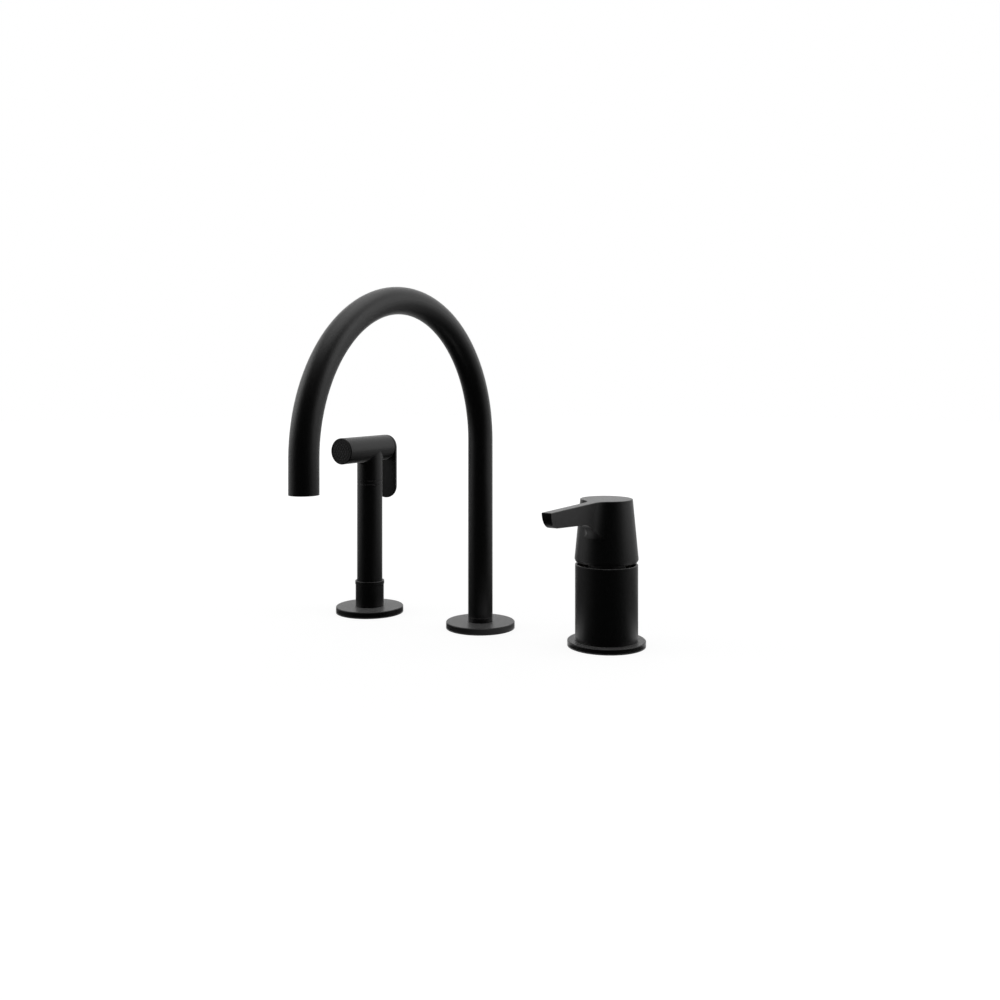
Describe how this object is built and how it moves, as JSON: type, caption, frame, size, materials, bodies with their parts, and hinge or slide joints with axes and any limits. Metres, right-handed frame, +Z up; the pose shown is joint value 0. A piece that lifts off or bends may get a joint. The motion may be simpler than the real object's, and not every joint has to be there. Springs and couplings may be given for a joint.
{
  "type": "kitchen faucet with side spray",
  "caption": "Deck-mounted kitchen faucet with a high swivelling gooseneck spout, a single-lever mixer beside it and a pull-out side spray with a rear trigger.",
  "frame": {"origin": "on the deck's top face, on the spout's vertical axis", "axes": "+X along the row of holes from the spray to the mixer, -Y towards the user and the basin, +Z up"},
  "size_m": [0.2851, 0.2555, 0.3202],
  "materials": {
    "black_coat": "matt black powder coat on brass, fine grain",
    "brass": "machined",
    "steel": "stamped or ground stainless steel",
    "seal_rubber": "matt",
    "nozzle_rubber": "matt silicone",
    "pale_plastic": "moulded",
    "black_plastic": "moulded",
    "ceramic": "lapped ceramic"
  },
  "bodies": {
    "base": {"spout_flange": "black_coat", "spout_collar": "black_coat", "spout_shank": "brass", "spout_deck_gasket": "seal_rubber", "spout_rubber_washer": "seal_rubber", "spout_steel_washer": "steel", "spout_mounting_nut": "brass", "spout_stop_screw": "steel", "spout_bearing_ring": "black_plastic", "mixer_flange": "black_coat", "mixer_body": "black_coat", "mixer_shank": "brass", "mixer_deck_gasket": "seal_rubber", "mixer_rubber_washer": "seal_rubber", "mixer_steel_washer": "steel", "mixer_mounting_nut": "brass", "cartridge_base": "pale_plastic", "cartridge_seals": "seal_rubber", "fixed_disc": "ceramic", "cartridge_housing": "black_plastic", "cartridge_nut": "brass", "spray_flange": "black_coat", "spray_holder": "black_coat", "holder_liner": "black_plastic", "spray_shank": "brass", "spray_deck_gasket": "seal_rubber", "spray_rubber_washer": "seal_rubber", "spray_steel_washer": "steel", "spray_mounting_nut": "brass"},
    "spout": {"spout_tube": "black_coat", "spout_foot": "brass", "spout_orings": "seal_rubber", "aerator_housing": "black_plastic", "aerator_insert": "black_plastic", "aerator_seal": "seal_rubber"},
    "lever_turret": {"cartridge_turret": "black_plastic", "stem_pin": "steel"},
    "mixing_disc": {"moving_disc": "ceramic", "disc_carrier": "pale_plastic"},
    "lever": {"lever_cap": "black_coat", "cartridge_stem": "brass", "lever_set_screw": "steel", "set_screw_plug": "black_plastic"},
    "handset": {"handle_tail": "brass", "check_valve": "pale_plastic", "handle_tube": "black_coat", "handle_ring": "black_coat", "inner_tube": "pale_plastic", "spray_head": "black_coat", "face_ring": "black_coat", "spray_face": "black_coat", "spray_nozzles": "nozzle_rubber", "face_seal": "seal_rubber", "valve_seat": "brass", "stem_spring": "steel", "trigger_bracket": "brass", "trigger_pin": "steel"},
    "trigger": {"trigger_plate": "black_coat"},
    "valve": {"valve_stem": "brass", "valve_seal": "seal_rubber"}
  },
  "joints": [
    {"name": "spout_swivel", "type": "hinge", "parent": "base", "child": "spout", "pos_m": [0, 0, 0.00715], "axis": [0, 0, 1], "range_deg": [-75, 75]},
    {"name": "lever_swing", "type": "hinge", "parent": "base", "child": "lever_turret", "pos_m": [0.1131, 0, 0.077], "axis": [0, 0, 1], "range_deg": [-45, 45]},
    {"name": "lever_lift", "type": "hinge", "parent": "lever_turret", "child": "lever", "pos_m": [0.1131, 0, 0.077], "axis": [-1, 0, 0], "range_deg": [0, 20]},
    {"name": "disc_shift", "type": "slide", "parent": "lever_turret", "child": "mixing_disc", "axis": [0, -1, 0], "range_m": [0, 0.0052]},
    {"name": "spray_pull_out", "type": "slide", "parent": "base", "child": "handset", "axis": [0, 0, 1], "range_m": [0, 0.18]},
    {"name": "trigger_squeeze", "type": "hinge", "parent": "handset", "child": "trigger", "pos_m": [-0.1131, 0.0195, 0.136], "axis": [-1, 0, 0], "range_deg": [0, 10], "stiffness_Nm_per_rad": 1, "springref_deg": -5.73},
    {"name": "valve_pull", "type": "slide", "parent": "handset", "child": "valve", "axis": [0, 1, 0], "range_m": [0, 0.001], "deforming": ["stem_spring"]}
  ],
  "couplings": [
    {"joint": "disc_shift", "follows": "lever_lift", "m_per_rad": 0.0147},
    {"joint": "valve_pull", "follows": "trigger_squeeze", "m_per_rad": 0.0055}
  ]
}
